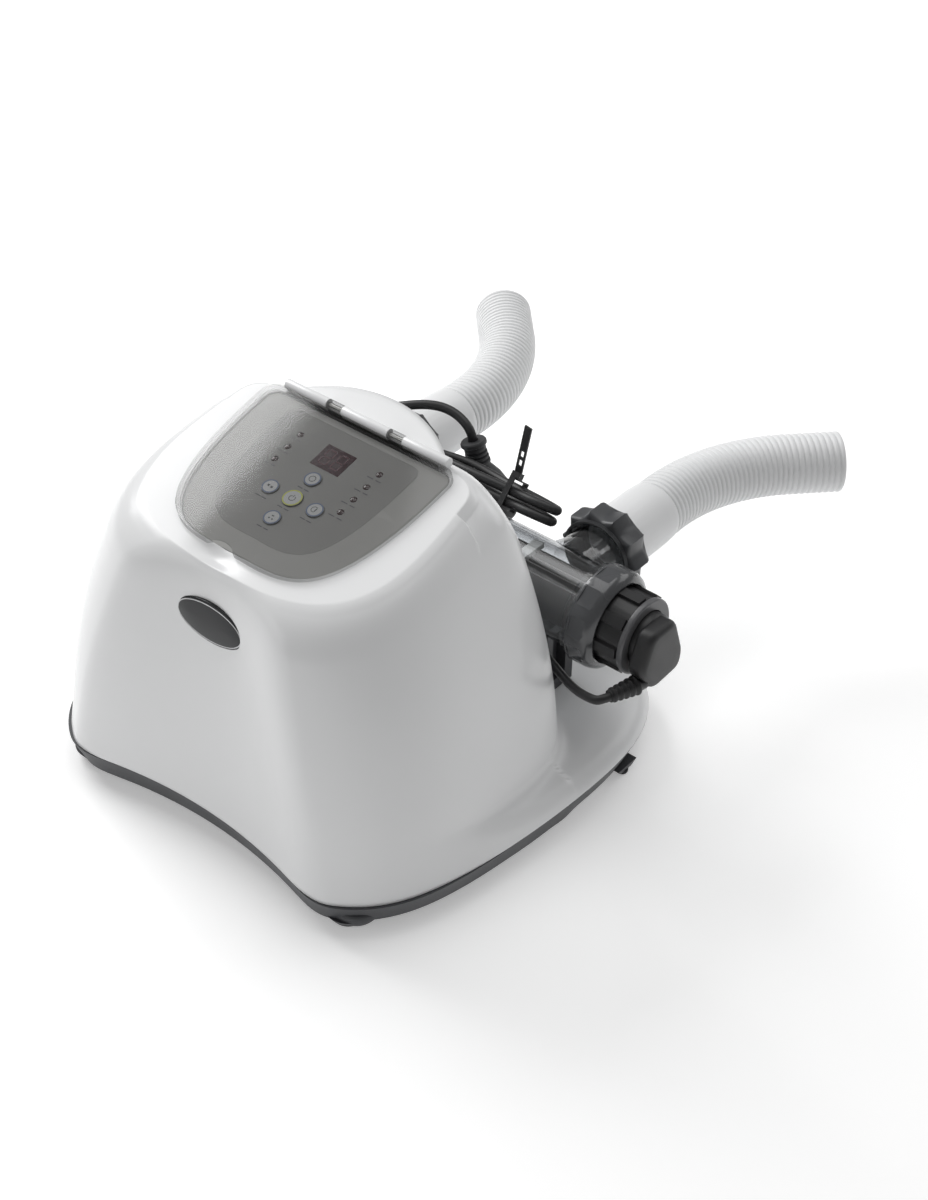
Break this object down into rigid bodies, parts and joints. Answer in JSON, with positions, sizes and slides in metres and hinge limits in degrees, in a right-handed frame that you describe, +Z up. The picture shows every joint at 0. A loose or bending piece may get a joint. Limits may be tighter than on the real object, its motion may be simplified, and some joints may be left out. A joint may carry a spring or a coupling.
{
  "type": "salt chlorine generator",
  "caption": "Salt water chlorinator: white bell enclosure on a dark tray with a control panel under a clear lid, and a clear cell behind it with hose unions.",
  "frame": {"origin": "on the ground at the middle of the base", "axes": "+Z up, -Y towards the front face with the control panel, +X to the right seen from the front; the cell lies along X and the hoses leave towards +Y"},
  "size_m": [0.3962, 0.5305, 0.2644],
  "materials": {
    "white_shell": "satin white moulding",
    "grey_tray": "dark grey moulding",
    "rubber": "matt",
    "screw_steel": "plated",
    "badge": "domed dark badge",
    "fascia_grey": "light grey frame",
    "overlay_grey": "printed film",
    "display_dark": "dark red filter",
    "display_body": "black module",
    "led": "dark diffused lens",
    "button_green": "yellow-green ring",
    "button_slate": "slate blue ring",
    "board": "circuit board",
    "clear_cover": "smoky clear",
    "core": "laminated steel",
    "coil": "taped winding",
    "aluminium": "plain",
    "wiring": "insulated wire",
    "black_gland": "black",
    "clear_vessel": "clear moulding",
    "bracket_grey": "dark grey",
    "collar_grey": "dark translucent grey",
    "cap_black": "black ribbed",
    "ring_grey": "grey ring",
    "titanium": "coated plate",
    "spacer": "white spacer",
    "sensor": "dark grey",
    "nut_grey": "dark grey lobed",
    "hose_white": "white corrugated",
    "cable_black": "black",
    "plug_grey": "dark grey moulded",
    "plug_brass": "plated"
  },
  "bodies": {
    "enclosure": {"badge": "badge", "base_tray": "grey_tray", "board_screws": "screw_steel", "cable_tie": "cable_black", "cell_cable": "cable_black", "cell_cable_gland": "black_gland", "control_board": "board", "cover_hinge_pin": "screw_steel", "display_module": "display_body", "display_window": "display_dark", "flow_sensor_body": "sensor", "heat_sink": "aluminium", "hinge_bar": "white_shell", "hose_cuff_left": "hose_white", "hose_cuff_right": "hose_white", "hose_left": "hose_white", "hose_right": "hose_white", "housing_screws": "screw_steel", "housing_shell": "white_shell", "internal_wiring": "wiring", "led_lenses": "led", "panel_fascia": "fascia_grey", "panel_overlay": "overlay_grey", "plug_pins": "plug_brass", "port_seals": "rubber", "power_board": "board", "power_cord": "cable_black", "power_cord_gland": "black_gland", "power_plug": "plug_grey", "rubber_feet": "rubber", "sensor_cable": "cable_black", "sensor_cable_gland": "black_gland", "transformer_bolts": "screw_steel", "transformer_coil": "coil", "transformer_core": "core", "vessel_body": "clear_vessel", "vessel_brackets": "bracket_grey"},
    "cover": {"panel_cover": "clear_cover"},
    "cell": {"cell_cap": "cap_black", "cell_end_ring": "ring_grey", "electrode_plates": "titanium", "plate_spacers": "spacer", "cell_terminals": "titanium", "cell_seal": "rubber"},
    "collar": {"collar_nut": "collar_grey"},
    "plug": {"cell_plug": "cable_black"},
    "nut_left": {"union_nut_left": "nut_grey"},
    "nut_right": {"union_nut_right": "nut_grey"},
    "sensor_nut": {"flow_sensor_nut": "nut_grey"},
    "power_key": {"button_power": "button_green"},
    "lock_key": {"button_lock": "button_slate"},
    "timer_key": {"button_timer": "button_slate"},
    "boost_key": {"button_boost": "button_slate"},
    "clean_key": {"button_clean": "button_slate"}
  },
  "joints": [
    {"name": "cover_hinge", "type": "hinge", "parent": "enclosure", "child": "cover", "pos_m": [0, 0.01107, 0.26068], "axis": [-1, 0, 0], "range_deg": [0, 110]},
    {"name": "cell_withdraw", "type": "slide", "parent": "enclosure", "child": "cell", "axis": [1, 0, 0], "range_m": [0, 0.13]},
    {"name": "collar_turn", "type": "hinge", "parent": "cell", "child": "collar", "pos_m": [0.16, 0.0776, 0.1377], "axis": [1, 0, 0], "continuous": true},
    {"name": "plug_pull", "type": "slide", "parent": "enclosure", "child": "plug", "axis": [1, 0, 0], "range_m": [0, 0.156], "deforming": ["cell_cable"]},
    {"name": "nut_left_turn", "type": "hinge", "parent": "enclosure", "child": "nut_left", "pos_m": [-0.0793, 0.141, 0.1377], "axis": [0, 1, 0], "continuous": true},
    {"name": "nut_right_turn", "type": "hinge", "parent": "enclosure", "child": "nut_right", "pos_m": [0.111, 0.141, 0.1377], "axis": [0, 1, 0], "continuous": true},
    {"name": "sensor_nut_turn", "type": "hinge", "parent": "enclosure", "child": "sensor_nut", "pos_m": [-0.13, 0.0776, 0.1377], "axis": [1, 0, 0], "continuous": true},
    {"name": "power_press", "type": "slide", "parent": "enclosure", "child": "power_key", "axis": [0, 0.2385, -0.9711], "range_m": [0, 0.0008]},
    {"name": "lock_press", "type": "slide", "parent": "enclosure", "child": "lock_key", "axis": [0, 0.2385, -0.9711], "range_m": [0, 0.0008]},
    {"name": "timer_press", "type": "slide", "parent": "enclosure", "child": "timer_key", "axis": [0, 0.2385, -0.9711], "range_m": [0, 0.0008]},
    {"name": "boost_press", "type": "slide", "parent": "enclosure", "child": "boost_key", "axis": [0, 0.2385, -0.9711], "range_m": [0, 0.0008]},
    {"name": "clean_press", "type": "slide", "parent": "enclosure", "child": "clean_key", "axis": [0, 0.2385, -0.9711], "range_m": [0, 0.0008]}
  ],
  "couplings": [
    {"joint": "plug_pull", "follows": "cell_withdraw", "ratio": 1.2}
  ]
}
